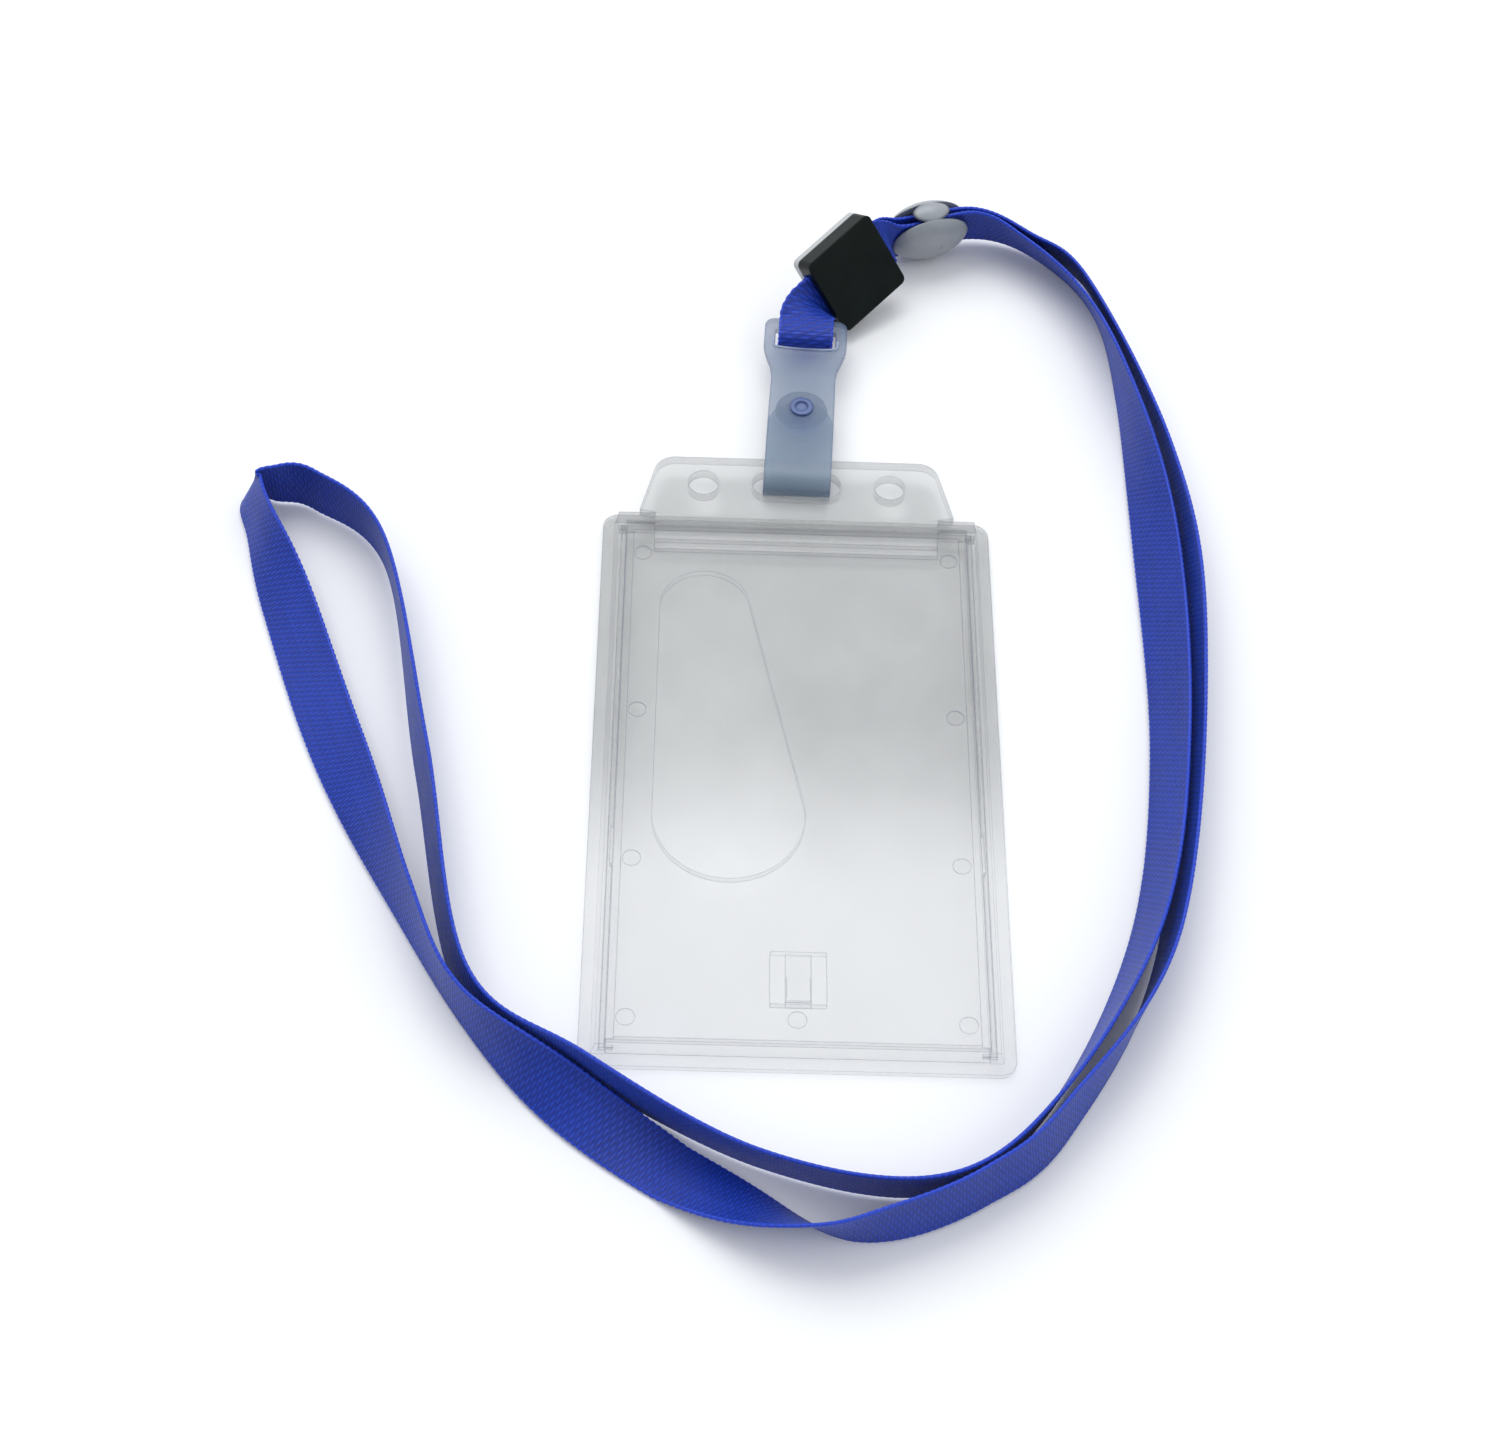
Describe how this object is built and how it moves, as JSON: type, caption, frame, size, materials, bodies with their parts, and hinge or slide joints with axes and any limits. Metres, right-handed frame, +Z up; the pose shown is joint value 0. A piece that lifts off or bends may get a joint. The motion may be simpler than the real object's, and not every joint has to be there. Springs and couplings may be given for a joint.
{
  "type": "lanyard badge holder",
  "caption": "Clear card case with a sliding cover, hung by a vinyl snap strap and a short woven loop from the end block of a long woven neck ribbon with a slider bead.",
  "frame": {"origin": "on the floor under the middle of the case and its strap, without the lanyard", "axes": "+Z up out of the case's front, +Y from the case towards its strap, +X to the right when the front is seen with the strap up"},
  "size_m": [0.1576, 0.2018, 0.0178],
  "materials": {
    "clear_case": "clear, smooth",
    "vinyl": "frosted, soft",
    "snap": "smooth",
    "ribbon": "fine satin weave",
    "black_plastic": "satin",
    "grey_plastic": "satin",
    "steel": "plain",
    "bead_plastic": "satin"
  },
  "bodies": {
    "lanyard": {"neck_ribbon": "ribbon", "clip_loop": "ribbon", "block_front": "black_plastic", "block_back": "grey_plastic", "ribbon_crimp": "steel"},
    "bead": {"slider_bead": "bead_plastic"},
    "strap": {"strap_band": "vinyl", "snap_cap": "snap", "snap_socket": "vinyl"},
    "flap": {"strap_flap": "vinyl", "snap_stud": "vinyl", "snap_post": "vinyl"},
    "case": {"rear_tray": "clear_case"},
    "cover": {"sliding_cover": "clear_case"},
    "latch": {"latch_tongue": "clear_case"}
  },
  "joints": [
    {"name": "bead_slide", "type": "slide", "parent": "lanyard", "child": "bead", "axis": [0.9511, 0.309, 0], "range_m": [0, 0.0015]},
    {"name": "strap_swing", "type": "hinge", "parent": "lanyard", "child": "strap", "pos_m": [0.00164, 0.07129, 0.0054], "axis": [0.9989, -0.0471, 0], "range_deg": [-90, 90]},
    {"name": "case_swing", "type": "hinge", "parent": "strap", "child": "case", "pos_m": [0, 0.0405, 0.00305], "axis": [1, 0, 0], "range_deg": [-100, 100]},
    {"name": "flap_open", "type": "hinge", "parent": "strap", "child": "flap", "pos_m": [0.00008, 0.03815, 0.0007], "axis": [0.9989, -0.0471, 0], "range_deg": [-100, 0]},
    {"name": "cover_slide", "type": "slide", "parent": "case", "child": "cover", "axis": [0, -1, 0], "range_m": [0, 0.0045]},
    {"name": "latch_flex", "type": "hinge", "parent": "cover", "child": "latch", "pos_m": [0, -0.0553, 0.0034], "axis": [1, 0, 0], "range_deg": [-8, 0], "stiffness_Nm_per_rad": 0.1}
  ]
}
